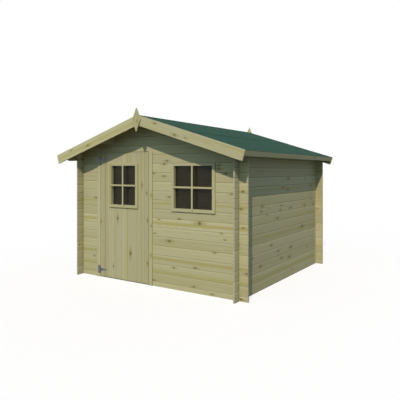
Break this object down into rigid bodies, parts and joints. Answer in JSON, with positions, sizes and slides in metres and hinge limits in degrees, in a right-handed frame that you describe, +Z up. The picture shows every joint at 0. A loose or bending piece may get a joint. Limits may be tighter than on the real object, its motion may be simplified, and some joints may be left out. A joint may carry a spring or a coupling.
{
  "type": "garden shed",
  "caption": "Log-built timber garden shed with crossed corners, felted ridge roof with bargeboards, a ledged door that swings out, and a fixed window.",
  "frame": {"origin": "on the ground, in the middle of the roof's outline in plan", "axes": "+Z up, -Y towards the front with the door and window, +X to the right seen from the front"},
  "size_m": [3, 3.032, 2.2498],
  "materials": {
    "log_pine": "planed, pressure-treated pine logs, pale green-yellow, matt",
    "board_pine": "planed, pressure-treated pine boards, pale green-yellow, matt",
    "roof_felt": "green mineral-surfaced bitumen felt, rough",
    "window_pane": "clear window pane",
    "hinge_steel": "bright zinc plate, dulled"
  },
  "bodies": {
    "shed": {"left_wall": "log_pine", "right_wall": "log_pine", "rear_wall": "log_pine", "rear_gable": "log_pine", "front_wall_left": "log_pine", "front_wall_right": "log_pine", "door_header_log": "log_pine", "front_gable": "log_pine", "ridge_purlin": "board_pine", "left_purlin": "board_pine", "right_purlin": "board_pine", "left_roof_deck": "board_pine", "right_roof_deck": "board_pine", "front_left_bargeboard": "board_pine", "front_right_bargeboard": "board_pine", "rear_left_bargeboard": "board_pine", "rear_right_bargeboard": "board_pine", "left_fascia": "board_pine", "right_fascia": "board_pine", "left_eave_ends": "board_pine", "right_eave_ends": "board_pine", "front_finial": "board_pine", "rear_finial": "board_pine", "left_door_post": "board_pine", "right_door_post": "board_pine", "door_head": "board_pine", "door_sill": "board_pine", "window_frame": "board_pine", "window_trim": "board_pine", "left_roof_felt": "roof_felt", "right_roof_felt": "roof_felt", "window_glass": "window_pane", "upper_hinge_plate": "hinge_steel", "lower_hinge_plate": "hinge_steel"},
    "door": {"door_leaf": "board_pine", "door_ledges": "board_pine", "door_brace": "board_pine", "door_window_frame": "board_pine", "door_window_trim": "board_pine", "door_window_glass": "window_pane", "upper_hinge_strap": "hinge_steel", "lower_hinge_strap": "hinge_steel"}
  },
  "joints": [
    {"name": "door_swing", "type": "hinge", "parent": "shed", "child": "door", "pos_m": [-0.909, -1.235, 0.866], "axis": [0, 0, -1], "range_deg": [0, 100]}
  ]
}
